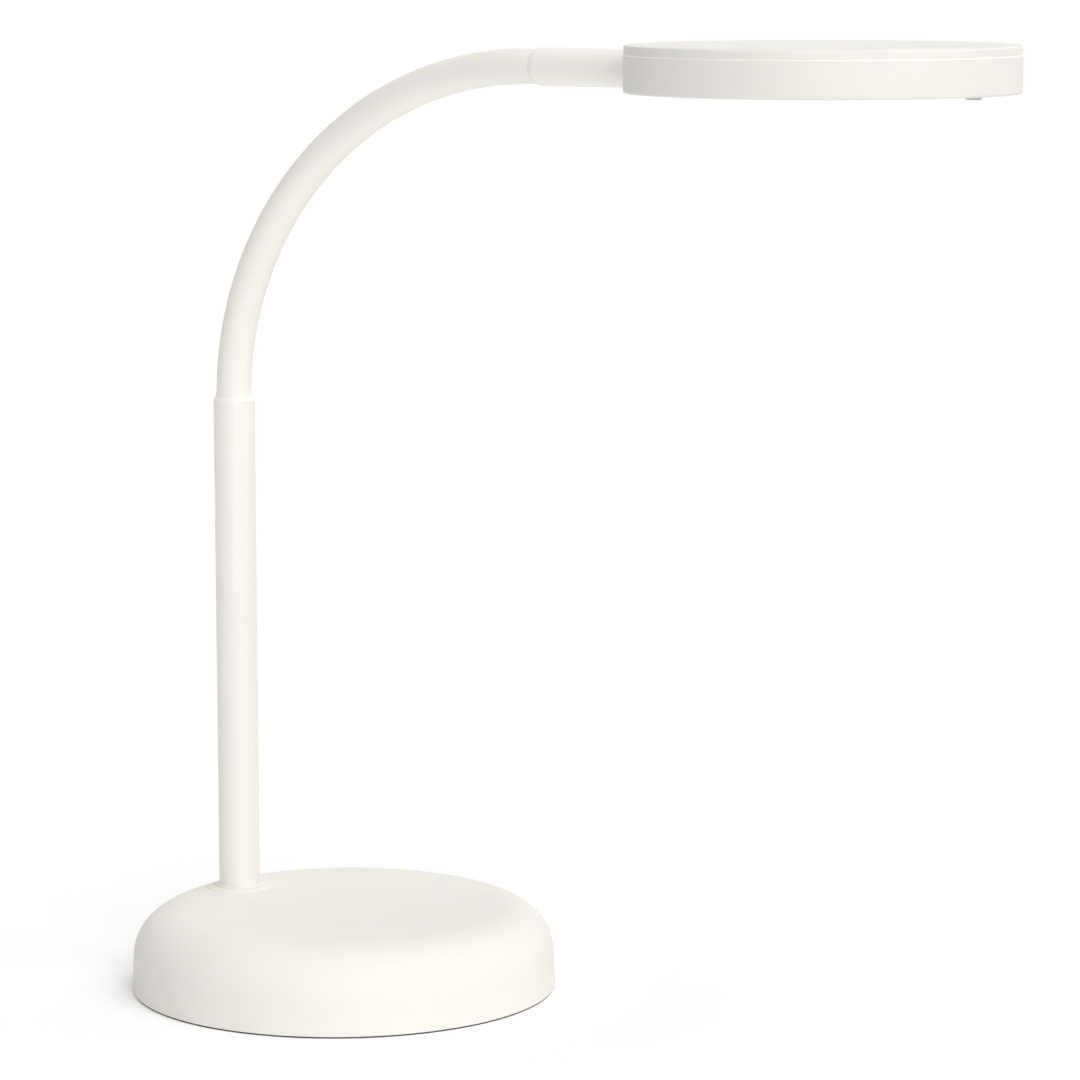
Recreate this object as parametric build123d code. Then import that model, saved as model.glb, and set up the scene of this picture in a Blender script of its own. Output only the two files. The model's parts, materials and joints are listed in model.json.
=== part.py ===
from build123d import *
import math
import os

# Desk lamp with a round weighted base, a straight pole, a flexible neck and a flat round head.
# Millimetres, +Z up. The origin is the centre of the base on the surface that it stands on,
# and +X runs from the pole towards the head.

# Base: a shallow dome moulded over a cast weight
base_radius = 90.0
base_height = 35.1            # floor to the edge of the flat top
base_wall = 2.5
side_height = 14.6            # floor to the start of the rounded shoulder
side_draft = 0.6              # how far the side leans in over its height
shoulder_width = 22.1         # plan width of the rounded shoulder
crown_rise = 0.5              # how much the top bulges over its edge
edge_break = 0.4              # bevel round the lower edge of the shell
quarter_turn = 90.0           # degrees
boss_count = 3
boss_inset = 24.0             # outside of the base to the axes of the bosses
boss_radius = 4.2
boss_gap = 0.4                # between a boss and the weight
rib_count = 6
rib_thickness = 2.0
rib_inner = 17.0
rib_inset = 4.0               # edge of the weight to the ends of the ribs

# Underside: plate, pad and their screws
pad_thickness = 0.65
pad_inset = 0.6
plate_thickness = 2.0
plate_clearance = 0.35
screw_radius = 1.4
screw_head_radius = 2.9
screw_head_height = 1.3
screw_length = 9.0

# Weight: cast disc with a raised seat under the pole
weight_margin = 17.0          # outside of the base to the edge of the weight
weight_thickness = 8.5
seat_wall = 3.5               # metal round the nut pocket
seat_floor = 8.8              # metal left above the nut pocket
pocket_gap = 1.5              # round the washer in the pocket
lead_slot_width = 7.0

# Pole: painted tube on a hollow threaded stud
pole_setback = 32.0           # back of the base to the axis of the pole
pole_radius = 8.8
pole_wall = 1.0
pole_top = 248.9
pole_seat_depth = 0.3
pole_bevel_height = 1.6
pole_bevel_depth = 0.8
collar_width = 7.0            # pole to the foot of the collar
collar_lip = 1.7              # pole to the lip on top of the collar
collar_throat = 1.4           # pole to the narrow part under the lip
collar_knee = 2.9             # pole to the place where the collar flares out
collar_height = 1.5
collar_lip_round = 0.35
collar_lip_foot = 0.9         # dome to the underside of the lip
collar_throat_height = 0.75
collar_knee_height = 0.3
collar_knee_round = 5.0
collar_edge = 0.1             # upright edge at its foot
collar_drop = 2.0             # how far its foot may follow the dome down
stud_radius = 5.0
stud_plug_height = 22.0
stud_bore_gap = 0.6           # round the lead
stud_end = 1.0                # thread past the nut
washer_radius = 10.0
washer_thickness = 1.2
nut_width = 17.0
nut_height = 5.0
loose_fit = 0.2               # gap round what passes through a hole
snug_fit = 0.05               # gap round what is pushed home
beyond = 1.0                  # how far a cutting solid runs past the face that it cuts
bite = 0.5                    # how far a solid reaches into the one that it is fused to

# Power inlet in the back of the base
inlet_width = 10.0
inlet_height = 11.0
inlet_wall_gap = 0.3          # between the block and the wall of the base
inlet_nose_radius = 4.4
inlet_recess = 0.4
inlet_gap = 0.5               # between the block and the weight
inlet_bore = 2.75
inlet_depth = 9.5
inlet_pin_radius = 1.0
inlet_pin_setback = 1.5
inlet_pin_root = 1.0
lead_radius = 1.6
lead_bend = 8.0

# Flexible neck: steel core in links, under a soft sleeve
link_joints = 8
neck_length = 234.7           # length of the curve along the middle of the neck
neck_turn = 90.0              # degrees from the pole to the head
neck_growth = 1.64            # bend radius at the head over the one at the pole
neck_growth_power = 0.52
neck_stub = 0.4               # straight length above the pole
neck_tail = 3.3               # straight length before the connector
core_radius = 5.5
core_bore_gap = 0.3           # round the lead
socket_wall = 0.7             # core left round each socket
ball_clearance = 0.1
link_gap = 1.6                # from the middle of a joint to the shoulder of each link
sleeve_clearance = 0.2
sleeve_radius_low = 7.45
sleeve_radius_high = 7.2
sleeve_lip_rise = 0.5         # how far the lip stands out at its foot
sleeve_lip_height = 2.6
sleeve_lip_step = 0.05
lead_end_gap = 0.3
plug_length = 31.0
plug_setback = 3.0
plug_floor = 4.0
connector_radius = 7.65
connector_length = 58.8       # from the sleeve to the wall of the head
connector_nose = 0.8          # how much thinner it is at its end next to the sleeve
nose_length = 2.4
nose_round = 8.0

# Head: a shallow round tray with a lid
head_radius = 76.0
tray_height = 14.6
lid_height = 3.6
lid_inset = 0.25              # ledge on the edge of the tray, outside the lid
head_wall = 2.2
floor_thickness = 2.0
lid_thickness = 2.0
lower_round = 1.0
lid_round = 1.0
ledge_round = 0.6
rim_width = 21.0              # outside of the head to the opening for the light
opening_bevel = 0.5
lap_height = 3.8
lap_thickness = 1.5
lap_clearance = 0.1
hook_count = 6
hook_angle = 12.0
hook_depth = 0.5
hook_height = 0.8
hook_drop = 1.6               # seam down to the middle of the hooks
lid_rib_inner = 28.0          # radius of the inner stiffening ring
lid_rib_inset = 1.0           # opening to the outer stiffening ring
lid_rib_width = 1.2
lid_rib_depth = 1.0
entry_gap = 1.5               # round the core where it passes the skirt of the lid

# Light unit in the tray
diffuser_lip = 2.0            # how far its flange reaches past the opening
diffuser_flange = 1.5
diffuser_recess = 0.4
diffuser_gap = 0.15
guide_thickness = 3.0
reflector_gap = 0.7           # between the reflector and the strip
reflector_thickness = 0.3
back_plate_lip = 2.0          # how far the plate reaches past the strip
back_plate_thickness = 1.2
strip_thickness = 0.8
led_count = 48
led_depth = 1.4
led_width = 3.0
led_height = 1.6
led_gap = 0.3                 # between the light sources and the guide
led_standoff = 0.01           # keeps the corners of a flat chip off the round strip
post_gap = 2.5                # between the posts and the skirt of the lid
post_radius = 3.2
post_angles = (45.0, 135.0, 225.0, 315.0)
notch_half_width = 5.0
notch_depth = 4.0             # past the rear edge of the driver board
lug_root = 6.0                # how far a lug of the plate reaches in under its rim
small_screw_radius = 1.2
small_screw_head_radius = 2.3
small_screw_head_height = 1.5
small_screw_length = 5.0

# Driver board above the back plate
driver_length = 36.0
driver_width = 28.0
driver_setback = 10.0         # edge of the back plate to its rear edge
driver_pad_thickness = 1.0
driver_pad_inset = 1.0
board_thickness = 1.2
socket_setback = 2.0          # rear edge of the board to the socket of the lead
socket_length = 6.0
socket_width = 8.0
socket_height = 4.0
coil_radius = 4.2
coil_bore = 1.5
coil_height = 4.0
coil_place = (17.0, 6.0)      # from the rear edge of the board, and from its middle line
can_radius = 2.5
can_height = 4.2
can_places = ((17.0, -3.0), (17.0, -9.0))
chip_size = 5.0
chip_height = 1.3
chip_place = 27.5

# Clamp that holds the end of the core
spigot_gap = 1.5              # between the end of the core and the back plate
clamp_thickness = 1.5
clamp_length = 7.0
clamp_setback = 8.5           # outside of the wall to the middle of the clamp
clamp_screw_gap = 3.55        # outside of the arch to the axes of its screws
clamp_boss_height = 4.0

# Push button under the front of the head
button_inset = 9.5            # outside of the head to the middle of the button
button_radius = 3.05
button_clearance = 0.15
button_proud = 1.25
button_round = 0.4
button_flange = 1.25          # how far the flange stands out under the floor
button_flange_height = 1.0
button_rest_gap = 0.05
button_stem_radius = 1.5
button_stem_height = 0.75
switch_size = 6.0
switch_height = 3.5
plunger_radius = 1.75
plunger_proud = 0.7
plunger_length = 2.7
plunger_clearance = 0.1
plunger_room = 2.8
switch_board_length = 26.0
switch_board_width = 9.0
switch_board_gap = 0.2        # between the board and the skirt of the lid
switch_post_offset = 9.5
switch_post_radius = 2.8

# Places that follow from the sizes above, in the base and the pole
plate_top = pad_thickness + plate_thickness
weight_top = plate_top + weight_thickness
weight_radius = base_radius - weight_margin
boss_circle = base_radius - boss_inset
rib_outer = weight_radius - rib_inset
inner_top = base_height - base_wall
seat_ceiling = inner_top - seat_floor
nut_pocket_radius = washer_radius + pocket_gap
seat_radius = nut_pocket_radius + seat_wall
pole_offset = base_radius - pole_setback
pole_foot = base_height - pole_seat_depth
pole_bore = pole_radius - pole_wall
stud_bore = lead_radius + stud_bore_gap
stud_tail = washer_thickness + nut_height + stud_end
collar_radius = pole_radius + collar_width
inlet_axis = plate_top + inlet_height / 2
inlet_nose = -base_radius + inlet_recess
inlet_front = -base_radius + side_draft + base_wall + inlet_wall_gap
inlet_rear = -weight_radius - inlet_gap

# In the neck
core_bore = lead_radius + core_bore_gap
socket_radius = core_radius - socket_wall
ball_radius = socket_radius - ball_clearance
sleeve_bore = core_radius + sleeve_clearance
span = neck_length / link_joints

# In the head
head_height = tray_height + lid_height
axis_height = connector_radius    # the core enters level with the underside of the connector
lid_underside = head_height - lid_thickness
lap_radius = head_radius - head_wall - lap_clearance
skirt_radius = lap_radius - lap_thickness
post_circle = skirt_radius - post_gap - post_radius
opening_radius = head_radius - rim_width
strip_radius = opening_radius + diffuser_lip + loose_fit
guide_radius = strip_radius - led_depth - led_gap
reflector_radius = strip_radius - reflector_gap
back_plate_radius = strip_radius + strip_thickness + back_plate_lip
spigot_reach = head_radius - back_plate_radius - spigot_gap
driver_rear = back_plate_radius - driver_setback
clamp_middle = -head_radius + clamp_setback
clamp_radius = core_radius + snug_fit + clamp_thickness
clamp_screw_offset = clamp_radius + clamp_screw_gap
clamp_foot = floor_thickness + clamp_boss_height
flange_top = floor_thickness + diffuser_flange
guide_top = flange_top + guide_thickness
back_plate_floor = guide_top + reflector_thickness
back_plate_top = back_plate_floor + back_plate_thickness
driver_floor = back_plate_top + driver_pad_thickness
driver_top = driver_floor + board_thickness
button_reach = head_radius - button_inset
button_top = floor_thickness + button_rest_gap + button_flange_height + button_stem_height
switch_floor = button_top + plunger_proud
switch_board_floor = switch_floor + switch_height
switch_board_top = switch_board_floor + board_thickness

os.makedirs("parts", exist_ok=True)


# General helpers
def disc(radius, low, high, x=0.0, y=0.0):
    """upright cylinder between two heights"""
    return Pos(x, y, low) * Cylinder(radius, high - low, align=(Align.CENTER, Align.CENTER, Align.MIN))


def ring(outer, inner, low, high, x=0.0, y=0.0):
    """upright tube between two heights"""
    return disc(outer, low, high, x, y) - disc(inner, low - beyond, high + beyond, x, y)


def block(x_low, x_high, y_low, y_high, low, high):
    """box between six planes"""
    middle = Pos((x_low + x_high) / 2, (y_low + y_high) / 2, (low + high) / 2)
    return middle * Box(x_high - x_low, y_high - y_low, high - low)


def turned(*corners):
    """solid of revolution about Z from radius and height pairs; a third value rounds that corner"""
    face = make_face(Polyline(*[corner[:2] for corner in corners], close=True))
    for x, z, *rounding in corners:
        if rounding:
            face = fillet(face.vertices().sort_by_distance((x, z))[0], rounding[0])
    return revolve(Plane.XZ * face, Axis.Z)


def around(count, radius, first=0.0):
    """points evenly spaced on a circle"""
    angles = [math.radians(first + 360 * i / count) for i in range(count)]
    return [(radius * math.cos(a), radius * math.sin(a)) for a in angles]


def lying(radius, x_low, x_high, z, y=0.0):
    """cylinder along X between two places"""
    turn = Pos(x_low, y, z) * Rot(0, 90, 0)
    return turn * Cylinder(radius, x_high - x_low, align=(Align.CENTER, Align.CENTER, Align.MIN))


def joined(solids):
    """one fused body from a list"""
    body = solids[0]
    for other in solids[1:]:
        body = body + other
    return body


def pan_screw(x, y, seat, direction, shank, length, head, head_height):
    """screw whose head rests on a height and whose shank runs down (-1) or up (+1)"""
    low, high = sorted((seat, seat + direction * length))
    cap_low, cap_high = sorted((seat, seat - direction * head_height))
    return disc(shank, low, high, x, y) + disc(head, cap_low, cap_high, x, y)


# Curve of the neck: arcs that meet in line, with a bend radius that grows towards the head
class Station:
    """a place on the neck: height and reach of its middle, and its tilt from upright"""

    def __init__(self, x, z, tilt):
        self.x = x
        self.z = z
        self.tilt = tilt

    def plane(self):
        lean = math.radians(self.tilt)
        across = (math.cos(lean), 0, -math.sin(lean))
        along = (math.sin(lean), 0, math.cos(lean))
        return Plane(origin=(self.x, 0, self.z), x_dir=across, z_dir=along)

    def after_arc(self, bend_radius, length):
        start = math.radians(self.tilt)
        end = start + length / bend_radius
        x = self.x + bend_radius * (math.cos(start) - math.cos(end))
        z = self.z + bend_radius * (math.sin(end) - math.sin(start))
        return Station(x, z, math.degrees(end))

    def after_line(self, length):
        lean = math.radians(self.tilt)
        return Station(self.x + length * math.sin(lean), self.z + length * math.cos(lean), self.tilt)


def neck_sections():
    """(start, bend radius, length) of each stretch between joints, and the end of the curve"""
    lengths = [span / 2] + [span] * (link_joints - 1) + [span / 2]
    middles = [sum(lengths[:i]) + lengths[i] / 2 for i in range(len(lengths))]
    shapes = [1 + (neck_growth - 1) * (m / neck_length) ** neck_growth_power for m in middles]
    turn = sum(length / shape for length, shape in zip(lengths, shapes))
    scale = turn / math.radians(neck_turn)
    station = Station(-pole_offset, pole_top + neck_stub, 0.0)
    sections = []
    for length, shape in zip(lengths, shapes):
        sections.append((station, shape * scale, length))
        station = station.after_arc(shape * scale, length)
    return sections, station


def bent_bar(station, bend_radius, length, radius):
    """round bar along an arc of the neck"""
    plane = station.plane()
    centre = plane.origin + plane.x_dir * bend_radius
    return revolve(plane * Circle(radius), Axis(centre, plane.y_dir), math.degrees(length / bend_radius))


def straight_bar(station, length, radius):
    """round bar that goes straight on from a place on the neck"""
    low = Cylinder(radius, length, align=(Align.CENTER, Align.CENTER, Align.MIN))
    return station.plane() * low


def bore(station, bend_radius, length, radius, before, after):
    """round hole along an arc of the neck, drawn straight on past both of its ends"""
    low = straight_bar(station.after_line(-before), before, radius)
    high = straight_bar(station.after_arc(bend_radius, length), after, radius)
    return low + bent_bar(station, bend_radius, length, radius) + high


neck, neck_end = neck_sections()
tangent = neck_end.plane().z_dir
upward = -neck_end.plane().x_dir
head_centre = neck_tail + connector_length + head_radius
head_place = Plane(origin=neck_end.plane().origin, x_dir=tangent, z_dir=upward).location
head_place = head_place * Pos(head_centre, 0, -axis_height)


# Base
def dome(inset):
    """the dome as a solid, with its skin moved in by an inset"""
    side_low = base_radius - inset
    side_high = base_radius - side_draft - inset
    flat = base_radius - side_draft - shoulder_width
    top = base_height - inset
    foot = pad_thickness
    height = top - side_height
    shoulder = EllipticalCenterArc((flat, side_height), side_high - flat, height, 0, arc_size=quarter_turn)
    if inset:
        cap = Polyline((flat, top), (0, top), (0, foot), (side_low, foot))
        side = Line((side_low, foot), (side_high, side_height))
    else:
        crown = Bezier((flat, top), (flat / 2, top + crown_rise), (0, top + crown_rise))
        edge = side_low - edge_break / 2
        cap = crown + Polyline((0, top + crown_rise), (0, foot), (edge, foot), (side_low, foot + edge_break))
        side = Line((side_low, foot + edge_break), (side_high, side_height))
    return revolve(Plane.XZ * make_face([*cap.edges(), side, shoulder]), Axis.Z)


def base_shell():
    """moulded dome with screw bosses, ribs that press on the weight, and its two holes"""
    cavity = dome(base_wall)
    shell = dome(0) - cavity
    inside = []
    for x, y in around(boss_count, boss_circle):
        inside.append(disc(boss_radius, plate_top, base_height, x, y))
    for i in range(rib_count):
        rib = block(rib_inner, rib_outer, -rib_thickness / 2, rib_thickness / 2, weight_top, base_height)
        inside.append(Rot(0, 0, 360 * (i + 0.5) / rib_count) * rib)
    inside.append(ring(rib_inner + rib_thickness, rib_inner, weight_top, base_height))
    shell = shell + (joined(inside) & dome(base_wall / 2))
    for x, y in around(boss_count, boss_circle):
        shell = shell - disc(screw_radius, 0, plate_top + screw_length, x, y)
    shell = shell - disc(stud_radius + loose_fit, weight_top, base_height + beyond, -pole_offset)
    shell = shell - disc(pole_radius + loose_fit, pole_foot, base_height + beyond, -pole_offset)
    return shell - lying(inlet_nose_radius + loose_fit, -base_radius - beyond, inlet_rear, inlet_axis)


def foot_collar():
    """flared collar with a lip round the foot of the pole, shaped underneath to the dome"""
    low = base_height - collar_drop
    top = base_height + collar_height
    hole = pole_radius + snug_fit
    outline = (
        (hole, low),
        (collar_radius, low),
        (collar_radius, base_height + collar_edge),
        (pole_radius + collar_knee, base_height + collar_knee_height, collar_knee_round),
        (pole_radius + collar_throat, base_height + collar_throat_height),
        (pole_radius + collar_lip, base_height + collar_lip_foot),
        (pole_radius + collar_lip, top, collar_lip_round),
        (hole, top),
    )
    return Pos(-pole_offset, 0, 0) * turned(*outline) - dome(0)


def weight():
    """cast disc with a raised seat for the pole, a pocket for its nut and a way out for the lead"""
    body = disc(weight_radius, plate_top, weight_top)
    body = body + disc(seat_radius, plate_top, base_height, -pole_offset)
    body = body & dome(base_wall + loose_fit)
    for x, y in around(boss_count, boss_circle):
        body = body - disc(boss_radius + boss_gap, 0, base_height, x, y)
    body = body - disc(nut_pocket_radius, 0, seat_ceiling, -pole_offset)
    body = body - disc(stud_radius + loose_fit, 0, base_height, -pole_offset)
    half = lead_slot_width / 2
    return body - block(-base_radius, -pole_offset, -half, half, 0, seat_ceiling - washer_thickness)


def bottom_plate():
    """flat plate that closes the base, with sunk holes for its screws"""
    radius = base_radius - base_wall - plate_clearance
    plate = disc(radius, pad_thickness, plate_top)
    for x, y in around(boss_count, boss_circle):
        plate = plate - disc(screw_radius + loose_fit, 0, plate_top + beyond, x, y)
        plate = plate - disc(screw_head_radius + loose_fit, 0, pad_thickness + screw_head_height, x, y)
    return plate


def plate_screws():
    """screws that hold the bottom plate to the bosses"""
    seat = pad_thickness + screw_head_height
    size = (screw_radius, screw_length, screw_head_radius, screw_head_height)
    return [pan_screw(x, y, seat, 1, *size) for x, y in around(boss_count, boss_circle)]


def anti_slip_pad():
    """soft dark pad that the lamp stands on"""
    return disc(base_radius - pad_inset, 0, pad_thickness)


def inlet_socket():
    """socket block behind the wall of the base, with its round nose through the wall"""
    half = inlet_width / 2
    body = block(inlet_front, inlet_rear, -half, half, plate_top, plate_top + inlet_height)
    body = body + lying(inlet_nose_radius, inlet_nose, inlet_front + bite, inlet_axis)
    body = body - lying(inlet_bore, inlet_nose - beyond, inlet_nose + inlet_depth, inlet_axis)
    return body - lying(inlet_pin_radius, inlet_nose, inlet_nose + inlet_depth + inlet_pin_root, inlet_axis)


def inlet_pin():
    """centre contact of the socket"""
    root = inlet_nose + inlet_depth + inlet_pin_root
    return lying(inlet_pin_radius, inlet_nose + inlet_pin_setback, root, inlet_axis)


# Pole
def pole():
    """tube with its top edge spun in to the neck"""
    top = pole_top
    outline = (
        (pole_bore, pole_foot),
        (pole_radius, pole_foot),
        (pole_radius, top - pole_bevel_height),
        (pole_radius - pole_bevel_depth, top),
        (pole_bore, top),
    )
    return Pos(-pole_offset, 0, 0) * turned(*outline)


def pole_stud():
    """plug in the foot of the pole with a hollow thread below it"""
    body = disc(pole_bore - snug_fit, pole_foot, pole_foot + stud_plug_height, -pole_offset)
    body = body + disc(stud_radius, seat_ceiling - stud_tail, pole_foot + bite, -pole_offset)
    return body - disc(stud_bore, 0, pole_top, -pole_offset)


def stud_washer():
    """washer under the seat of the weight"""
    low = seat_ceiling - washer_thickness
    return ring(washer_radius, stud_radius + snug_fit, low, seat_ceiling, -pole_offset)


def stud_nut():
    """nut that clamps weight and shell to the pole"""
    high = seat_ceiling - washer_thickness
    hexagon = RegularPolygon(nut_width / 2, 6, major_radius=False)
    body = Pos(-pole_offset, 0, high - nut_height) * extrude(hexagon, nut_height)
    return body - disc(stud_radius + snug_fit, 0, base_height, -pole_offset)


def neck_plug():
    """sleeve in the top of the pole that grips the end of the core"""
    high = pole_top - plug_setback
    low = high - plug_length
    body = disc(pole_bore - snug_fit, low, high, -pole_offset)
    body = body - disc(core_radius + snug_fit, low + plug_floor, high + beyond, -pole_offset)
    return body - disc(stud_bore, low - beyond, high + beyond, -pole_offset)


# Neck
def core_section(i):
    """one link of the core: a ball below, a socket above, and a bore for the lead"""
    start, bend, length = neck[i]
    end = start.after_arc(bend, length)
    first, last = i == 0, i == link_joints
    low_trim = 0 if first else link_gap
    high_trim = 0 if last else link_gap
    bar_start = start.after_arc(bend, low_trim)
    body = bent_bar(bar_start, bend, length - low_trim - high_trim, core_radius)
    if first:
        shank = neck_stub + plug_setback + plug_length - plug_floor
        body = straight_bar(start.after_line(-shank), shank, core_radius) + body
        entry = shank + beyond
    else:
        body = body + start.plane() * Sphere(ball_radius)
        entry = ball_radius + beyond
    if last:
        shank = neck_tail + connector_length + spigot_reach
        body = body + straight_bar(end, shank, core_radius)
        leaving = shank + beyond
    else:
        body = body - end.plane() * Sphere(socket_radius)
        leaving = ball_radius
    return body - bore(start, bend, length, core_bore, entry, leaving)


def sleeve_radius(i):
    """outside of the sleeve on a stretch, a little less towards the head"""
    share = i / link_joints
    return sleeve_radius_low + (sleeve_radius_high - sleeve_radius_low) * share


def sleeve_section(i):
    """one stretch of the soft sleeve, end to end with its neighbours"""
    start, bend, length = neck[i]
    radius = sleeve_radius(i)
    body = bent_bar(start, bend, length, radius)
    before = after = beyond
    if i == link_joints:
        body = body + straight_bar(start.after_arc(bend, length), neck_tail, radius)
        after = neck_tail + beyond
    if i == 0:
        foot = start.after_line(-neck_stub)
        high = sleeve_lip_height
        lip = turned((0, 0), (radius + sleeve_lip_rise, 0), (radius + sleeve_lip_step, high), (0, high))
        body = straight_bar(foot, neck_stub, radius) + body + foot.plane() * lip
        before = neck_stub + beyond
    return body - bore(start, bend, length, sleeve_bore, before, after)


def lead_section(i):
    """one stretch of the lead inside the core; the ends stop clear of the joints"""
    start, bend, length = neck[i]
    last = i == link_joints
    run = length if last else length - socket_radius - lead_end_gap
    pieces = [bent_bar(start, bend, run, lead_radius)]
    if i == 0:
        elbow = -pole_offset - lead_bend
        rise = inlet_axis + lead_bend
        section = Station(elbow, inlet_axis, quarter_turn).plane() * Circle(lead_radius)
        pieces.append(lying(lead_radius, inlet_rear, elbow, inlet_axis))
        pieces.append(revolve(section, Axis((elbow, 0, rise), (0, -1, 0)), quarter_turn))
        pieces.append(disc(lead_radius, rise, start.z, -pole_offset))
    else:
        tail = math.sqrt(ball_radius ** 2 - lead_radius ** 2) - lead_end_gap
        pieces.append(straight_bar(start.after_line(-tail), tail, lead_radius))
    return joined(pieces)


def head_lead():
    """end of the lead: along the core, then in two bends up to the socket on the driver board"""
    climb = driver_top + lead_radius + loose_fit - axis_height
    lean = math.acos(1 - climb / (2 * lead_bend))
    reach = lead_bend * math.sin(lean)
    first = -head_radius + spigot_reach + bite
    middle = (first + reach, axis_height + climb / 2)
    second = (first + 2 * reach, axis_height + climb)
    level = Line((-head_centre, axis_height), (first, axis_height))
    rising = TangentArc(level @ 1, middle, tangent=level % 1)
    falling = TangentArc(middle, second, tangent=rising % 1)
    rest = Line(second, (second[0] + bite, second[1]))
    section = Plane(origin=(-head_centre, 0, axis_height), z_dir=(1, 0, 0)) * Circle(lead_radius)
    return sweep(section, path=Plane.XZ * Wire([level, rising, falling, rest]))


def neck_connector():
    """straight moulding between the sleeve and the head, cut at its end to the wall of the head"""
    hole = core_radius + snug_fit
    far = connector_length + 2 * head_wall
    outline = (
        (hole, 0),
        (connector_radius - connector_nose, 0),
        (connector_radius, nose_length, nose_round),
        (connector_radius, far),
        (hole, far),
    )
    body = neck_end.after_line(neck_tail).plane() * turned(*outline)
    head = disc(head_radius + snug_fit, -head_height, tray_height)
    head = head + disc(head_radius - lid_inset + snug_fit, tray_height, 2 * head_height)
    return body - head_place * head


# Head, in its own axes: +X forward from the middle, and Z from the underside
def screw_hole(x, y, seat):
    """hole for a small screw whose head rests on a height"""
    return disc(small_screw_radius, seat - small_screw_length - loose_fit, seat, x, y)


def head_tray():
    """round tray with its wall, posts, opening for the light and hole for the button"""
    outline = (
        (opening_radius + opening_bevel, 0),
        (head_radius, 0, lower_round),
        (head_radius, tray_height, ledge_round),
        (head_radius - head_wall, tray_height),
        (head_radius - head_wall, floor_thickness),
        (opening_radius, floor_thickness),
        (opening_radius, opening_bevel),
    )
    body = turned(*outline)
    for angle in post_angles:
        x, y = around(1, post_circle, angle)[0]
        body = body + disc(post_radius, floor_thickness, back_plate_floor, x, y)
        body = body - screw_hole(x, y, back_plate_top)
    for side in (-1, 1):
        y = side * switch_post_offset
        body = body + disc(switch_post_radius, floor_thickness, switch_board_floor, button_reach, y)
        body = body - screw_hole(button_reach, y, switch_board_top)
        y = side * clamp_screw_offset
        body = body + disc(post_radius, floor_thickness, clamp_foot, clamp_middle, y)
        body = body - screw_hole(clamp_middle, y, clamp_foot + clamp_thickness)
    middle = tray_height - hook_drop
    catch = head_radius - head_wall + hook_depth + lap_clearance
    body = body - ring(catch, opening_radius, middle - hook_height, middle + hook_height)
    body = body - disc(button_radius + button_clearance, -beyond, floor_thickness + beyond, button_reach)
    return body - lying(core_radius + snug_fit, -head_radius - beyond, -post_circle, axis_height)


def head_lid():
    """lid with a lapped skirt, hooks that snap into the tray, and stiffening rings"""
    edge = head_radius - lid_inset
    low = tray_height - lap_height
    outline = (
        (0, head_height),
        (edge, head_height, lid_round),
        (edge, tray_height),
        (lap_radius, tray_height),
        (lap_radius, low),
        (skirt_radius, low),
        (skirt_radius, lid_underside),
        (0, lid_underside),
    )
    body = turned(*outline)
    middle = tray_height - hook_drop
    low, high = middle - hook_height, middle + hook_height
    root = lap_radius - bite
    tip = (lap_radius + hook_depth, middle)
    hook = Polyline((root, low), (lap_radius, low), tip, (lap_radius, high), (root, high), close=True)
    for i in range(hook_count):
        first = Rot(0, 0, 360 * (i + 0.5) / hook_count - hook_angle / 2)
        body = body + first * revolve(make_face(Plane.XZ * hook), Axis.Z, hook_angle)
    for radius in (lid_rib_inner, opening_radius - lid_rib_inset):
        low = lid_underside - lid_rib_depth
        body = body + ring(radius + lid_rib_width, radius, low, lid_underside + bite)
    half = core_radius + entry_gap
    return body - block(-head_radius + head_wall / 2, -post_circle, -half, half, 0, tray_height)


def diffuser():
    """opal disc that drops into the opening and rests on its flange"""
    flange = disc(opening_radius + diffuser_lip, floor_thickness, flange_top)
    return flange + disc(opening_radius - diffuser_gap, diffuser_recess, flange_top)


def light_guide():
    """clear plate that spreads the light of the strip"""
    return disc(guide_radius, flange_top, guide_top)


def reflector_sheet():
    """white sheet on the back of the light guide"""
    return disc(reflector_radius, guide_top, back_plate_floor)


def rear_gap(half_width, inner, low, high):
    """space kept free for the lead at the back of the light unit"""
    return block(-head_radius, -inner, -half_width, half_width, low, high)


def led_strip():
    """strip round the edge of the light guide, open at the back"""
    strip = ring(strip_radius + strip_thickness, strip_radius, floor_thickness, back_plate_floor)
    return strip - rear_gap(notch_half_width, opening_radius, 0, tray_height)


def leds():
    """light sources on the inside of the strip"""
    low = flange_top + (guide_thickness - led_height) / 2
    half = led_width / 2
    outer = math.sqrt(strip_radius ** 2 - half ** 2) - led_standoff
    chip = block(strip_radius - led_depth, outer, -half, half, low, low + led_height)
    chips = []
    for i in range(led_count):
        angle = 360 * i / led_count
        x, y = around(1, strip_radius, angle)[0]
        if x > 0 or abs(y) > notch_half_width + led_width:
            chips.append(Rot(0, 0, angle) * chip)
    return chips


def back_plate():
    """metal plate that presses the light unit down and carries the driver board"""
    low, high = back_plate_floor, back_plate_top
    body = disc(back_plate_radius, low, high)
    for angle in post_angles:
        lug = block(back_plate_radius - lug_root, post_circle, -post_radius, post_radius, low, high)
        lug = lug + disc(post_radius, low, high, post_circle)
        lug = lug - disc(small_screw_radius + loose_fit, 0, head_height, post_circle)
        body = body + Rot(0, 0, angle) * lug
    return body - rear_gap(2 * lead_radius, driver_rear + notch_depth, 0, head_height)


def driver_pad():
    """insulating pad between back plate and driver board"""
    rear = -driver_rear + driver_pad_inset
    front = -driver_rear + driver_length - driver_pad_inset
    half = driver_width / 2 - driver_pad_inset
    return block(rear, front, -half, half, back_plate_top, driver_floor)


def driver_board():
    """circuit board that drives the light"""
    half = driver_width / 2
    front = -driver_rear + driver_length
    return block(-driver_rear, front, -half, half, driver_floor, driver_top)


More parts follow.
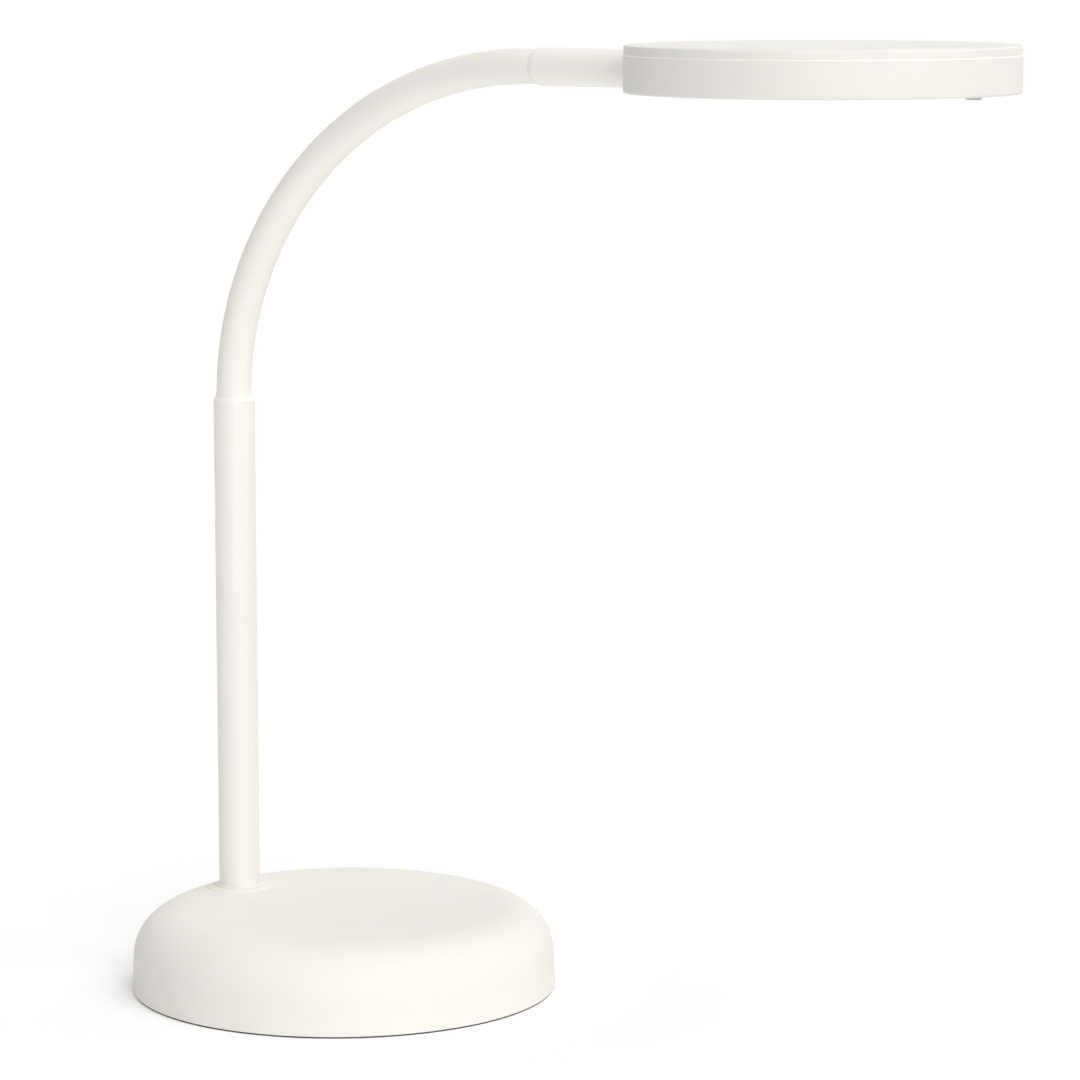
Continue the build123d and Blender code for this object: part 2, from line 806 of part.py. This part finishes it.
def driver_parts():
    """lead socket, coil, two capacitors and chip on the driver board"""
    rear = -driver_rear + socket_setback
    half = socket_width / 2
    socket = block(rear, rear + socket_length, -half, half, driver_top, driver_top + socket_height)
    reach, aside = coil_place
    coil = ring(coil_radius, coil_bore, driver_top, driver_top + coil_height, reach - driver_rear, aside)
    cans = [disc(can_radius, driver_top, driver_top + can_height, x - driver_rear, y) for x, y in can_places]
    middle, half = chip_place - driver_rear, chip_size / 2
    chip = block(middle - half, middle + half, -half, half, driver_top, driver_top + chip_height)
    return [socket, coil, *cans, chip]


def core_clamp():
    """saddle over the end of the core, with a foot on each side"""
    low, high = clamp_middle - clamp_length / 2, clamp_middle + clamp_length / 2
    reach = clamp_screw_offset + post_radius
    arch = lying(clamp_radius, low, high, axis_height)
    arch = arch & block(low, high, -reach, reach, clamp_foot, lid_underside - loose_fit)
    body = arch + block(low, high, -reach, reach, clamp_foot, clamp_foot + clamp_thickness)
    body = body - lying(core_radius + snug_fit, low - beyond, high + beyond, axis_height)
    body = body - block(low - beyond, high + beyond, -core_radius, core_radius, 0, axis_height)
    for side in (-1, 1):
        y = side * clamp_screw_offset
        body = body - disc(small_screw_radius + loose_fit, 0, head_height, clamp_middle, y)
    return body


def head_screws():
    """eight like screws: four on the back plate, two on the core clamp, two on the switch board"""
    seats = [(*around(1, post_circle, angle)[0], back_plate_top) for angle in post_angles]
    clamp_seat = clamp_foot + clamp_thickness
    seats += [(clamp_middle, side * clamp_screw_offset, clamp_seat) for side in (-1, 1)]
    seats += [(button_reach, side * switch_post_offset, switch_board_top) for side in (-1, 1)]
    size = (small_screw_radius, small_screw_length, small_screw_head_radius, small_screw_head_height)
    return [pan_screw(x, y, seat, -1, *size) for x, y, seat in seats]


# Button and its switch
def button_cap():
    """push button with a flange that keeps it in"""
    low = floor_thickness + button_rest_gap
    high = low + button_flange_height
    flange = button_radius + button_flange
    outline = (
        (0, -button_proud),
        (button_radius, -button_proud, button_round),
        (button_radius, low),
        (flange, low),
        (flange, high),
        (button_stem_radius, high),
        (button_stem_radius, button_top),
        (0, button_top),
    )
    return Pos(button_reach, 0, 0) * turned(*outline)


def switch_plunger():
    """moving pin of the switch"""
    return disc(plunger_radius, button_top, button_top + plunger_length, button_reach)


def push_switch():
    """body of the switch under its board"""
    half = switch_size / 2
    rear, front = button_reach - half, button_reach + half
    body = block(rear, front, -half, half, switch_floor, switch_board_floor)
    return body - disc(plunger_radius + plunger_clearance, 0, switch_floor + plunger_room, button_reach)


def switch_board():
    """small board that carries the switch"""
    rear, front = button_reach - switch_board_width / 2, button_reach + switch_board_width / 2
    half = switch_board_length / 2
    body = block(rear, front, -half, half, switch_board_floor, switch_board_top)
    body = body & disc(skirt_radius - switch_board_gap, switch_board_floor, switch_board_top)
    for side in (-1, 1):
        y = side * switch_post_offset
        body = body - disc(small_screw_radius + loose_fit, 0, head_height, button_reach, y)
    return body


# Writing
def save(name, solids):
    """one file for each kind of piece"""
    if isinstance(solids, list):
        solids = Compound(children=solids)
    export_step(solids, f"parts/{name}.step")


def save_head(name, solids):
    """the same for a piece made in the axes of the head"""
    if isinstance(solids, list):
        save(name, [head_place * solid for solid in solids])
    else:
        save(name, head_place * solids)


for build in (base_shell, foot_collar, weight, bottom_plate, plate_screws, anti_slip_pad,
              inlet_socket, inlet_pin, pole, pole_stud, stud_washer, stud_nut, neck_plug, neck_connector):
    save(build.__name__, build())

for i in range(link_joints + 1):
    save(f"neck_core_{i}", core_section(i))
    save(f"neck_sleeve_{i}", sleeve_section(i))
    if i < link_joints:
        save(f"lead_{i}", lead_section(i))
    else:
        save(f"lead_{i}", lead_section(i) + head_place * head_lead())

for build in (head_tray, head_lid, diffuser, light_guide, reflector_sheet, led_strip, leds, back_plate,
              driver_pad, driver_board, driver_parts, core_clamp, head_screws,
              button_cap, switch_plunger, push_switch, switch_board):
    save_head(build.__name__, build())

for i, (station, bend, length) in enumerate(neck):
    place = f"x {station.x:.3f} z {station.z:.3f} tilt {station.tilt:.3f}"
    print(f"stretch {i}: {place} bend radius {bend:.2f} length {length:.3f}")
print(f"end of the neck: x {neck_end.x:.3f} z {neck_end.z:.3f} tilt {neck_end.tilt:.3f}")
print("middle of the head:", tuple(round(v, 3) for v in head_place.position))
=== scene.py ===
import json
import math
import bpy
import numpy as np
from mathutils import Matrix, Vector


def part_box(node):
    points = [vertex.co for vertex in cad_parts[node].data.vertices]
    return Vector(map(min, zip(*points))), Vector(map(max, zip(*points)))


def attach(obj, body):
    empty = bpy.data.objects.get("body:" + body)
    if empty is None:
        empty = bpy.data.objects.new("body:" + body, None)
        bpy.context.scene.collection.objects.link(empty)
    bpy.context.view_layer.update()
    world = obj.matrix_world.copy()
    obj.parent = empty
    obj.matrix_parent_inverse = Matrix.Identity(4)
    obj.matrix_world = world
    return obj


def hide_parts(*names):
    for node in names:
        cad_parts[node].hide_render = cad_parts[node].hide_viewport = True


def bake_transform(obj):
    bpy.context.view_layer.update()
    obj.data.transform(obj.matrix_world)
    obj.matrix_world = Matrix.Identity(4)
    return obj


# White desk lamp with a round base, a flexible neck and a flat round head, in a studio.
# Metres. +Z is up, the origin is under the middle of the base, and +X runs towards the head.

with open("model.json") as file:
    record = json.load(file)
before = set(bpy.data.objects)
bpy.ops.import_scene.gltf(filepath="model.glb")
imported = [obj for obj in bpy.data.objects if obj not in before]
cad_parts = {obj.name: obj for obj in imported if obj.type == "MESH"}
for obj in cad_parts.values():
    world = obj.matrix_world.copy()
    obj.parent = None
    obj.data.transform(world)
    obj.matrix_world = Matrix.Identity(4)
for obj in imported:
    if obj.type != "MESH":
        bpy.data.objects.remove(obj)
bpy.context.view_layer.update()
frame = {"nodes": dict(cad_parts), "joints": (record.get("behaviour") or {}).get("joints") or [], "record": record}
neckJoints = [joint for joint in frame["joints"] if joint["name"].startswith("neck_")]


# Small tools for meshes

def makeMesh(name, points, quads, sharpAngle=30.0):
    # points is an (n, 3) array, and quads an (m, 4) array of their numbers
    corners = quads.shape[1]
    mesh = bpy.data.meshes.new(name)
    mesh.vertices.add(len(points))
    mesh.vertices.foreach_set("co", np.asarray(points, np.float32).ravel())
    mesh.loops.add(quads.size)
    mesh.loops.foreach_set("vertex_index", quads.astype(np.int32).ravel())
    mesh.polygons.add(len(quads))
    mesh.polygons.foreach_set("loop_start", np.arange(0, quads.size, corners, dtype=np.int32))
    mesh.polygons.foreach_set("loop_total", np.full(len(quads), corners, np.int32))
    mesh.update(calc_edges=True)
    mesh.validate()
    mesh.shade_smooth()
    mesh.set_sharp_from_angle(angle=math.radians(sharpAngle))
    piece = bpy.data.objects.new(name, mesh)
    bpy.context.scene.collection.objects.link(piece)
    return piece


def makeRing(name, x, y, z):
    # one circle of points for each row of x, y and z; the last row joins the first one
    rows, columns = x.shape
    i, j = np.meshgrid(np.arange(rows), np.arange(columns), indexing="ij")
    i2, j2 = (i + 1) % rows, (j + 1) % columns
    quads = np.stack([i * columns + j, i * columns + j2, i2 * columns + j2, i2 * columns + j], -1)
    points = np.stack(np.broadcast_arrays(x, y, z), axis=-1)
    return makeMesh(name, points.reshape(-1, 3), quads.reshape(-1, 4))


def fullTurn(count):
    return np.linspace(0, 2 * np.pi, count, endpoint=False)


def boxOf(node):
    low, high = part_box(node)
    return np.array(low), np.array(high)


def axisAndRadius(node):
    # place along X, and radius, of an upright round node
    low, high = boxOf(node)
    return (low[0] + high[0]) / 2, (high[0] - low[0]) / 2


# Materials: every pattern is worked out from Object coordinates, so it stays with its piece

def noise(nodes, links, vector, scale, detail, x, y):
    texture = nodes.new("ShaderNodeTexNoise")
    texture.inputs["Scale"].default_value = scale
    texture.inputs["Detail"].default_value = detail
    texture.location = (x, y)
    links.new(vector, texture.inputs["Vector"])
    return texture.outputs["Fac"]


def spread(nodes, links, value, low, high, x, y):
    # turns the range that most of a noise lies in into a range of our own
    commonLow, commonHigh = 0.3, 0.7
    span = nodes.new("ShaderNodeMapRange")
    span.inputs["From Min"].default_value = commonLow
    span.inputs["From Max"].default_value = commonHigh
    span.inputs["To Min"].default_value = low
    span.inputs["To Max"].default_value = high
    span.location = (x, y)
    links.new(value, span.inputs["Value"])
    return span.outputs["Result"]


def finish(name, colour, gloss, tone=0.015, toneScale=18.0, glossScale=55.0, grain=1500.0,
           grainHeight=0.00002, metallic=0.0, coat=0.0, specular=0.5, strokes=(1.0, 1.0, 1.0)):
    # a surface with slow changes of tone and gloss and a fine grain; gloss is a range of roughness,
    # and strokes stretch the grain one way
    material = bpy.data.materials.new(name)
    material.use_nodes = True
    nodes, links = material.node_tree.nodes, material.node_tree.links
    shader = nodes["Principled BSDF"]
    coords = nodes.new("ShaderNodeTexCoord")
    coords.location = (-1100, 0)
    onPiece = coords.outputs["Object"]

    blend = nodes.new("ShaderNodeMix")
    blend.data_type = "RGBA"
    blend.inputs["A"].default_value = (*[c * (1 - tone) for c in colour], 1)
    blend.inputs["B"].default_value = (*[min(1.0, c * (1 + tone)) for c in colour], 1)
    blend.location = (-300, 250)
    slow = noise(nodes, links, onPiece, toneScale, 3.0, -800, 250)
    links.new(spread(nodes, links, slow, 0.0, 1.0, -550, 250), blend.inputs["Factor"])
    links.new(blend.outputs["Result"], shader.inputs["Base Color"])

    polish = noise(nodes, links, onPiece, glossScale, 2.0, -800, 0)
    links.new(spread(nodes, links, polish, *gloss, -550, 0), shader.inputs["Roughness"])

    mapping = nodes.new("ShaderNodeMapping")
    mapping.inputs["Scale"].default_value = strokes
    mapping.location = (-850, -300)
    links.new(onPiece, mapping.inputs["Vector"])
    fine = noise(nodes, links, mapping.outputs["Vector"], grain, 2.0, -600, -300)
    bump = nodes.new("ShaderNodeBump")
    bump.inputs["Strength"].default_value = 1.0
    bump.inputs["Distance"].default_value = grainHeight
    bump.location = (-300, -300)
    links.new(fine, bump.inputs["Height"])
    links.new(bump.outputs["Normal"], shader.inputs["Normal"])

    shader.inputs["Metallic"].default_value = metallic
    shader.inputs["Coat Weight"].default_value = coat
    shader.inputs["Specular IOR Level"].default_value = specular
    return material


def warmWhite(level):
    # the lamp's warm white at a given level; the levels differ from part to part partly as each part's own tone
    # and partly as painted light and shade, set to match how bright each part looks
    return tuple(level * share for share in (1.0, 0.974, 0.918))


slotFinish = {
    "shell_plastic": finish("warmWhiteShell", warmWhite(0.922), (0.58, 0.64), specular=0.3),
    # the head's white is set darker than the shell's as painted shade
    "head_plastic": finish("warmWhiteHead", warmWhite(0.860), (0.58, 0.64), specular=0.3),
    "pole_paint": finish("warmWhitePaint", warmWhite(0.915), (0.34, 0.40), grain=900.0,
                         grainHeight=0.00003, coat=0.1),
    "sleeve_rubber": finish("softWhiteSleeve", warmWhite(0.915), (0.50, 0.58), specular=0.25),
    "steel": finish("plainSteel", (0.56, 0.56, 0.57), (0.26, 0.40), tone=0.05, toneScale=60.0,
                    glossScale=200.0, grain=500.0, metallic=1.0, strokes=(1.0, 1.0, 0.12)),
    "cast_weight": finish("castIron", (0.10, 0.10, 0.105), (0.55, 0.75), tone=0.15, toneScale=40.0,
                          glossScale=90.0, grain=350.0, grainHeight=0.00025, metallic=0.6),
    "dark_pad": finish("darkFoam", (0.035, 0.034, 0.036), (0.80, 0.92), tone=0.2, toneScale=70.0,
                       glossScale=150.0, grain=900.0, grainHeight=0.00015),
    "plate_plastic": finish("plateWhite", (0.78, 0.77, 0.74), (0.45, 0.55)),
    "black_plastic": finish("blackMoulding", (0.025, 0.025, 0.027), (0.35, 0.45), tone=0.1,
                            toneScale=90.0),
    "brass_pin": finish("brassPin", (0.72, 0.55, 0.26), (0.22, 0.32), tone=0.04, toneScale=200.0,
                        metallic=1.0),
    "opal": finish("opalDiffuser", (0.90, 0.90, 0.89), (0.40, 0.48), tone=0.01, grain=1100.0,
                   grainHeight=0.00008),
    "clear_guide": finish("clearGuide", (0.93, 0.95, 0.955), (0.06, 0.10), tone=0.01),
    "white_sheet": finish("reflectorWhite", (0.93, 0.93, 0.93), (0.25, 0.35), tone=0.01),
    "flexible_strip": finish("stripWhite", (0.88, 0.88, 0.84), (0.30, 0.40), tone=0.03),
    "light_source": finish("sourceYellow", (0.88, 0.74, 0.22), (0.25, 0.35), tone=0.05,
                           toneScale=300.0),
    "aluminium_sheet": finish("aluminiumSheet", (0.74, 0.745, 0.75), (0.28, 0.42), tone=0.03,
                              toneScale=40.0, glossScale=150.0, grain=400.0, metallic=1.0,
                              strokes=(0.1, 1.0, 1.0)),
    "grey_pad": finish("greyPad", (0.42, 0.44, 0.47), (0.65, 0.80), tone=0.05),
    "circuit_board": finish("greenBoard", (0.03, 0.20, 0.07), (0.25, 0.38), tone=0.15,
                            toneScale=250.0, coat=0.3),
    "board_parts": finish("darkParts", (0.05, 0.05, 0.055), (0.35, 0.50), tone=0.1,
                          toneScale=200.0),
    # the button's grey is painted shade, standing in for the head's shadow over a white button
    "button_plastic": finish("buttonGrey", (0.50, 0.50, 0.49), (0.32, 0.40)),
    "lead_plastic": finish("leadWhite", (0.84, 0.83, 0.80), (0.35, 0.45)),
}
ownFinish = {
    # the connector's white is set lighter than the head's as painted light, making up for the head's shadow on it
    "neck_connector": finish("warmWhiteConnector", warmWhite(0.930), (0.42, 0.50)),
    # the seam ring's lighter white is a painted highlight along the seam
    "headSeamLine": finish("warmWhiteEdge", warmWhite(0.96), (0.30, 0.36)),
}
slotOf = {row["node"]: row["material_slot"] for row in frame["record"]["subparts"]}
for name, node in frame["nodes"].items():
    for holder in node.material_slots:
        holder.material = ownFinish.get(name, slotFinish[slotOf[name]])
print("materials:", len(slotFinish) + len(ownFinish))


# Neck: the line through the joints, and one stretch of soft sleeve over each joint

sleeve = {
    "radiusLow": 0.00745,      # outside at the pole
    "radiusHigh": 0.00718,     # outside near the head
    "radiusEnd": 0.00681,      # outside where it meets the connector
    "endLength": 0.016,        # over which it narrows to that
    "endRound": 0.00015,       # rounded edge there
    "endRings": 7,
    "bore": 0.0062,
    "stub": 0.0004,            # straight length between the pole and the first arc
    "lipRadius": 0.00795,      # flared edge on top of the pole
    "lipHeight": 0.0019,
    "lipRings": 10,
    "around": 96,
    "step": 0.0008,            # between rings
}


def neckLine():
    # arcs from joint to joint, each leaving in the direction in which the last one arrived, then
    # one that ends level at the height of the connector, and a straight tail up to the connector
    connectorLow, connectorHigh = boxOf("neck_connector")
    poleTop = boxOf("pole")[1][2]
    places = [(axisAndRadius("pole")[0], poleTop + sleeve["stub"])]
    places += [(joint["pos_m"][0], joint["pos_m"][2]) for joint in neckJoints]
    arcs, tilt, along = [], 0.0, 0.0
    for (x, z), (x2, z2) in zip(places, places[1:]):
        chord = math.hypot(x2 - x, z2 - z)
        end = 2 * math.atan2(x2 - x, z2 - z) - tilt
        half = (end - tilt) / 2
        length = chord * half / math.sin(half)
        arcs.append((along, x, z, tilt, (end - tilt) / length))
        along += length
        tilt = end
    x, z = places[-1]
    radius = ((connectorLow[2] + connectorHigh[2]) / 2 - z) / (1 - math.sin(tilt))
    arcs.append((along, x, z, tilt, 1 / radius))
    along += radius * (math.pi / 2 - tilt)
    tail = connectorLow[0] - x - radius * math.cos(tilt)
    return np.array(arcs), along, tail


neckArcs, neckLength, neckTail = neckLine()


def neckFrame(s):
    # centre and tilt at a length along the neck, straight on before its start and after its end
    inside = np.clip(s, 0, neckLength)
    k = np.searchsorted(neckArcs[:, 0], inside, side="right") - 1
    start, x, z, tilt, bend = neckArcs[np.clip(k, 0, len(neckArcs) - 1)].T
    lean = tilt + bend * (inside - start)
    over = s - inside
    centreX = x + (np.cos(tilt) - np.cos(lean)) / bend + over * np.sin(lean)
    centreZ = z + (np.sin(lean) - np.sin(tilt)) / bend + over * np.cos(lean)
    return centreX, centreZ, lean


def neckTube(name, along, outer, inner):
    # rings square to the neck: out along the outer wall and back along the inner one
    radius = np.concatenate([outer, inner[::-1]])[:, None]
    x, z, lean = (value[:, None] for value in neckFrame(np.concatenate([along, along[::-1]])))
    turn = fullTurn(sleeve["around"])
    reach = radius * np.cos(turn)
    return makeRing(name, x + reach * np.cos(lean), radius * np.sin(turn), z - reach * np.sin(lean))


def sleeveRadius(s):
    # even taper with a flared lip at the foot, drawn in a little where it meets the connector
    v = sleeve
    radius = v["radiusLow"] + (v["radiusHigh"] - v["radiusLow"]) * np.clip(s / neckLength, 0, 1)
    lip = np.clip(1 - (s + v["stub"]) / v["lipHeight"], 0, 1)
    radius = radius + (v["lipRadius"] - v["radiusLow"]) * lip
    left = neckLength + neckTail - s
    near = np.clip(1 - left / v["endLength"], 0, 1)
    radius = radius - (v["radiusHigh"] - v["radiusEnd"]) * near * near
    edge = np.clip(1 - left / v["endRound"], 0, 1)
    return radius - v["endRound"] * (1 - np.sqrt(1 - edge ** 2))


def neckSleeves():
    # each piece runs from halfway before its joint to halfway after it; the first one starts on the
    # pole, and the last one ends at the connector
    v = sleeve
    knots = np.append(neckArcs[:, 0], neckLength)
    middles = (knots[1:-2] + knots[2:-1]) / 2
    edges = np.concatenate([[-v["stub"]], middles, [neckLength + neckTail]])
    for k, joint in enumerate(neckJoints):
        low, high = edges[k], edges[k + 1]
        count = int(round((high - low) / v["step"])) + 1
        along = np.linspace(low, high, count)
        if k == 0:
            lipTop = low + v["lipHeight"]
            lip = np.linspace(low, lipTop, v["lipRings"])[:-1]
            along = np.concatenate([lip, np.linspace(lipTop, high, count)])
        if k == len(neckJoints) - 1:
            last = high - v["endRound"]
            edge = np.linspace(last, high, v["endRings"])
            along = np.concatenate([np.linspace(low, last, count)[:-1], edge])
        inner = np.full(len(along), v["bore"])
        piece = neckTube(f"neckSleeve{k + 1}", along, sleeveRadius(along), inner)
        piece.data.materials.append(slotFinish["sleeve_rubber"])
        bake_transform(piece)
        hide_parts(*(["neck_sleeve_0"] if k == 0 else []), f"neck_sleeve_{k + 1}")
    print("sleeve pieces:", len(neckJoints))


neckSleeves()


# Collar round the foot of the pole: a flank that rises from the dome to a throat, and a lip on it

collar = {
    "lipRadius": 0.01050,
    "lipHeight": 0.00055,
    "lipRound": 0.00030,
    "throatRadius": 0.01015,
    "footRadius": 0.0142,
    "footDepth": 0.0034,       # rounded edge of the foot, inwards
    "footHeight": 0.0008,      # and upwards
    "gap": 0.00004,            # between the ring and the pole
    "sunk": 0.0004,            # how far its underside lies below the skin of the dome
    "around": 120,
    "roundRows": 7,            # over a rounded edge
    "flareRows": 19,
}
dome = {
    "crownRadius": 0.0673,     # of the flat top, which bulges a little
    "crownRise": 0.0005,
    "crownHeight": 0.0351,     # floor to the edge of the flat top
    "sideRadius": 0.0894,
    "sideHeight": 0.0146,      # floor to the start of the rounded shoulder
}


def domeHeight(x, y):
    # a low parabola over the middle, then a quarter of an ellipse down to the side
    v = dome
    reach = np.hypot(x, y)
    crown = v["crownHeight"] + v["crownRise"] * (1 - (reach / v["crownRadius"]) ** 2)
    share = (reach - v["crownRadius"]) / (v["sideRadius"] - v["crownRadius"])
    drop = np.sqrt(1 - np.clip(share, 0, 1) ** 2)
    shoulder = v["sideHeight"] + (v["crownHeight"] - v["sideHeight"]) * drop
    return np.where(reach < v["crownRadius"], crown, shoulder)


def footCollar():
    # rows up the rounded edge of the foot, up the flare, over the lip, down along the pole and back
    # under the skin of the dome; each row is a circle round the pole whose height goes from the
    # dome's own (lift 0) to one level plane (lift 1)
    v = collar
    axis, poleRadius = axisAndRadius("pole")
    hole = poleRadius + v["gap"]
    top = boxOf("foot_collar")[1][2]
    roll = np.linspace(0, np.pi / 2, v["roundRows"])
    climb = np.linspace(0, np.pi / 2, v["flareRows"] + 1)[1:]
    rise = 1 - np.cos(climb)
    lip, soft, under = v["lipRadius"], v["lipRound"], top - v["lipHeight"]
    shelf = v["footRadius"] - v["footDepth"]
    parts = [  # radius, lift, and height above what the lift gives
        (shelf + v["footDepth"] * np.cos(roll), 0 * roll, v["footHeight"] * np.sin(roll)),
        (shelf - (shelf - v["throatRadius"]) * np.sin(climb), rise,
         v["footHeight"] * (1 - rise) + under * rise),
        ([lip - soft / 2, lip], [1, 1], [under, under + soft / 2]),
        (lip - soft * (1 - np.cos(roll)), 0 * roll + 1, top - soft + soft * np.sin(roll)),
        ([hole, hole, v["footRadius"]], [1, 0, 0], [top, -v["sunk"], -v["sunk"]])]
    radius, lift, level = (np.concatenate([part[k] for part in parts])[:, None] for k in range(3))
    turn = fullTurn(v["around"])
    x, y = axis + radius * np.cos(turn), radius * np.sin(turn)
    piece = makeRing("footCollar", x, y, domeHeight(x, y) * (1 - lift) + level)
    piece.data.materials.append(slotFinish["shell_plastic"])
    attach(piece, "base")
    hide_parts("foot_collar")


# Fine moulded line on the seam of the head: a sloped ring that closes the joint under the lid, in a lighter white
# that paints a highlight along it

seam = {
    "lidInset": 0.00025,       # tray's wall to lid's wall
    "drop": 0.00045,           # how far the slope reaches down the tray's edge
    "rise": 0.00003,           # how far it stands above the tray and out from the lid
    "depth": 0.0004,           # tray's wall to the ring's inside
    "around": 360,
}


def seamLine():
    # four corners carried round the head's axis
    v = seam
    axis, wall = axisAndRadius("head_tray")
    level = boxOf("head_tray")[1][2]
    inside, lidWall = wall - v["depth"], wall - v["lidInset"]
    radius = np.array([inside, wall, lidWall + v["rise"], inside])[:, None]
    height = level + np.array([-v["drop"], -v["drop"], v["rise"], v["rise"]])[:, None]
    turn = fullTurn(v["around"])
    piece = makeRing("headSeamLine", axis + radius * np.cos(turn), radius * np.sin(turn), height)
    piece.data.materials.append(ownFinish["headSeamLine"])
    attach(piece, "head")


footCollar()
seamLine()
print("collar and seam are made")


# Studio: floor, light and camera. Directions are seen from the lamp, in degrees: aside is to the
# right of the line to the camera, and height is above level

studio = {
    "turn": 36.27,             # from the line square to the lamp's side to the line to the camera
    "pitch": 8.193,            # how far the camera looks down
    "roll": -0.069,
    "camera": (1.0972, -1.3538, 0.4421),
    "lens": 139.385,
    "sensor": 36.0,
    "clip": (0.05, 50.0),
    "floorHalf": 12.0,         # middle of the floor to its edge
    "floorShade": 0.97,
    "floorGlow": 0.130,        # added for the lens alone, so that the open floor is plain white
    "world": 0.19,             # light from all round
    "lampDistance": 1.5,
    "lamps": {                 # aside, height, width of the soft source, strength
        "overhead": (0.0, 88.0, 60.0, 0.55),
        "keyRight": (50.0, 55.0, 50.0, 1.30),
        "fillFront": (8.0, 8.0, 30.0, 1.10),
        "fillLeft": (-45.0, 35.0, 40.0, 0.06),
        "rimRight": (135.0, 35.0, 60.0, 0.58),
        "rimLeft": (-135.0, 35.0, 60.0, 0.28),
    },
}


def toward(aside, height):
    # unit arrow from the lamp to a place given by its two angles
    turn, a, h = math.radians(studio["turn"]), math.radians(aside), math.radians(height)
    toCamera = Vector((math.sin(turn), -math.cos(turn), 0))
    right = Vector((math.cos(turn), math.sin(turn), 0))
    level = toCamera * math.cos(a) + right * math.sin(a)
    return level * math.cos(h) + Vector((0, 0, math.sin(h)))


def setUp(name, data, location, turned):
    holder = bpy.data.objects.new(name, data)
    holder.location = location
    holder.rotation_mode = "QUATERNION"
    holder.rotation_quaternion = turned
    bpy.context.scene.collection.objects.link(holder)
    return holder


def makeLamps():
    for name, (aside, height, width, strength) in studio["lamps"].items():
        lamp = bpy.data.lights.new(name, "SUN")
        lamp.angle = math.radians(width)
        lamp.energy = strength
        away = toward(aside, height)
        setUp(name, lamp, away * studio["lampDistance"], (-away).to_track_quat("-Z", "Y"))


def seenDirectly(nodes, links):
    # 1 for what the lens sees itself, in a mirror or through glass, and 0 for light on things
    path = nodes.new("ShaderNodeLightPath")
    value = path.outputs["Is Camera Ray"]
    for ray in ("Is Glossy Ray", "Is Transmission Ray"):
        larger = nodes.new("ShaderNodeMath")
        larger.operation = "MAXIMUM"
        links.new(value, larger.inputs[0])
        links.new(path.outputs[ray], larger.inputs[1])
        value = larger.outputs[0]
    return value


def makeFloor():
    half = studio["floorHalf"]
    points = np.array([(-half, -half, 0), (half, -half, 0), (half, half, 0), (-half, half, 0)])
    floor = makeMesh("floor", points, np.array([[0, 1, 2, 3]]))
    material = bpy.data.materials.new("paleFloor")
    material.use_nodes = True
    nodes, links = material.node_tree.nodes, material.node_tree.links
    nodes.remove(nodes["Principled BSDF"])
    matt = nodes.new("ShaderNodeBsdfDiffuse")
    matt.inputs["Color"].default_value = (*[studio["floorShade"]] * 3, 1)
    glow = nodes.new("ShaderNodeEmission")
    amount = nodes.new("ShaderNodeMath")
    amount.operation = "MULTIPLY"
    amount.inputs[1].default_value = studio["floorGlow"]
    links.new(seenDirectly(nodes, links), amount.inputs[0])
    links.new(amount.outputs[0], glow.inputs["Strength"])
    both = nodes.new("ShaderNodeAddShader")
    links.new(matt.outputs[0], both.inputs[0])
    links.new(glow.outputs[0], both.inputs[1])
    links.new(both.outputs[0], nodes["Material Output"].inputs["Surface"])
    floor.data.materials.append(material)


def makeWorld():
    world = bpy.data.worlds.new("studio")
    bpy.context.scene.world = world
    world.use_nodes = True
    nodes, links = world.node_tree.nodes, world.node_tree.links
    level = nodes.new("ShaderNodeMapRange")
    level.inputs["To Min"].default_value = studio["world"]
    level.inputs["To Max"].default_value = 1.0
    links.new(seenDirectly(nodes, links), level.inputs["Value"])
    links.new(level.outputs["Result"], nodes["Background"].inputs["Strength"])
    nodes["Background"].inputs["Color"].default_value = (1, 1, 1, 1)


def makeCamera():
    lens = bpy.data.cameras.new("photoView")
    lens.lens = studio["lens"]
    lens.sensor_width = studio["sensor"]
    lens.clip_start, lens.clip_end = studio["clip"]
    facing = (-toward(0, studio["pitch"])).to_track_quat("-Z", "Y").to_matrix()
    roll = Matrix.Rotation(math.radians(studio["roll"]), 3, "Z")
    bpy.context.scene.camera = setUp("photoView", lens, studio["camera"],
                                     (facing @ roll).to_quaternion())


makeFloor()
makeWorld()
makeLamps()
makeCamera()
bpy.context.scene.view_settings.view_transform = "Standard"
print("studio is set")
